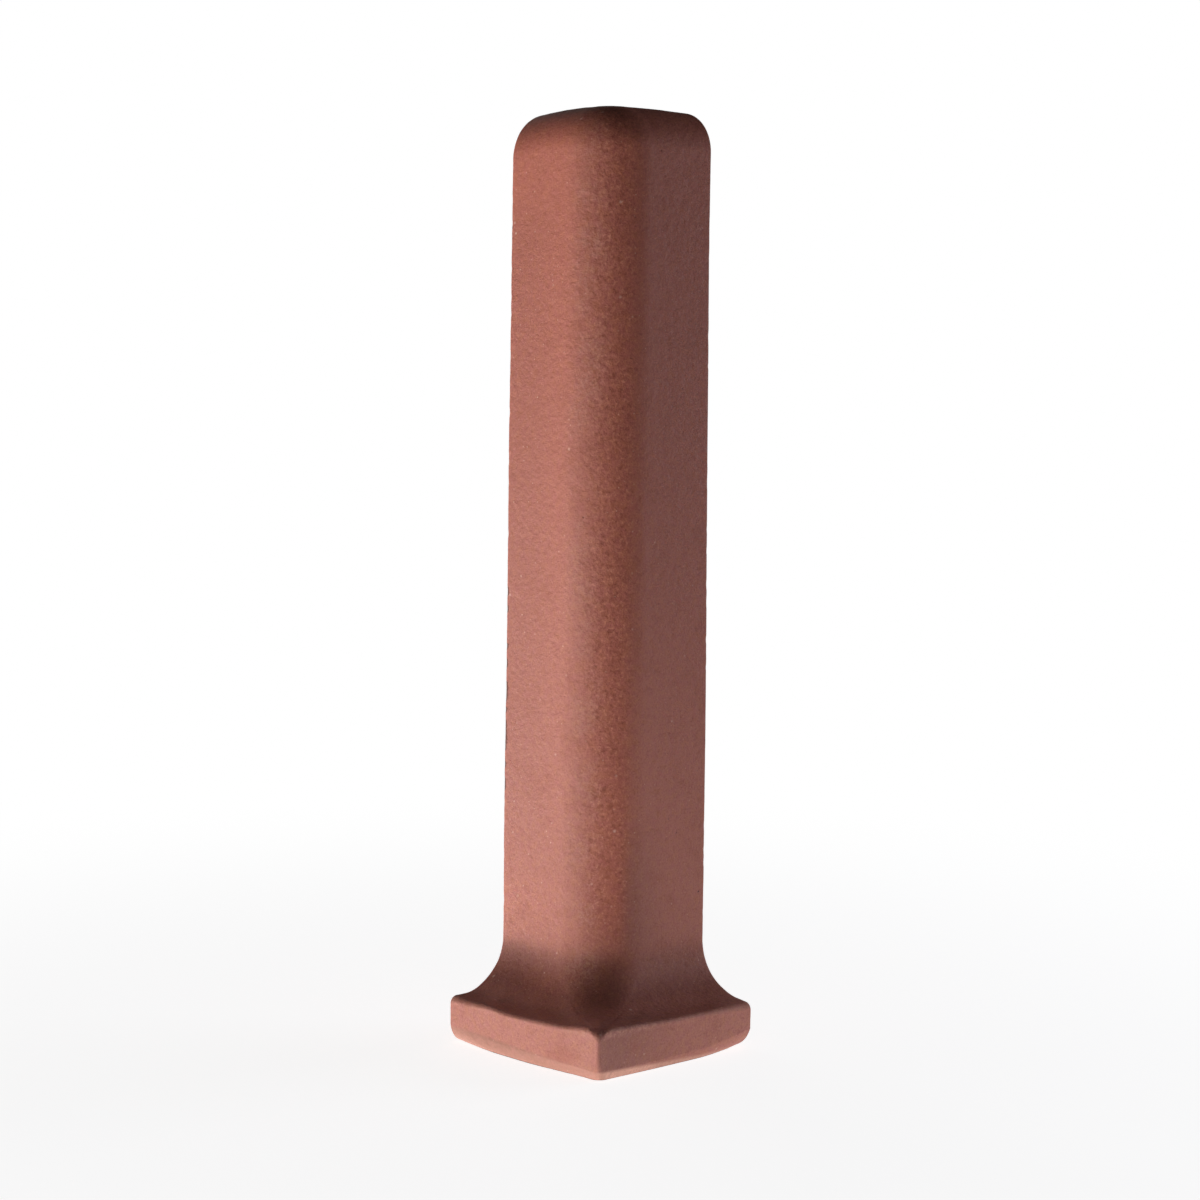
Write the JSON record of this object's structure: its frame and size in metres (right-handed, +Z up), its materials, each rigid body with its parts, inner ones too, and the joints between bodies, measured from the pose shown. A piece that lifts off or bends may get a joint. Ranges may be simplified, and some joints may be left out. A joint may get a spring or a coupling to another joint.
{
  "type": "cove base outside corner trim tile",
  "caption": "Unglazed red clay corner trim tile with a rounded top edge and corner and a cove running out to a square toe, for the outside corner of a tiled wall base.",
  "frame": {"origin": "centre of the footprint's bounding square, on the floor plane", "axes": "+Z up along the wall corner; +X and +Y from the outside corner towards the two joint ends, so the wall stands on the +X +Y side"},
  "size_m": [0.0348, 0.0348, 0.1524],
  "materials": {
    "fired_clay": "matte, unglazed"
  },
  "bodies": {
    "root": {"corner_tile": "fired_clay"}
  },
  "joints": []
}
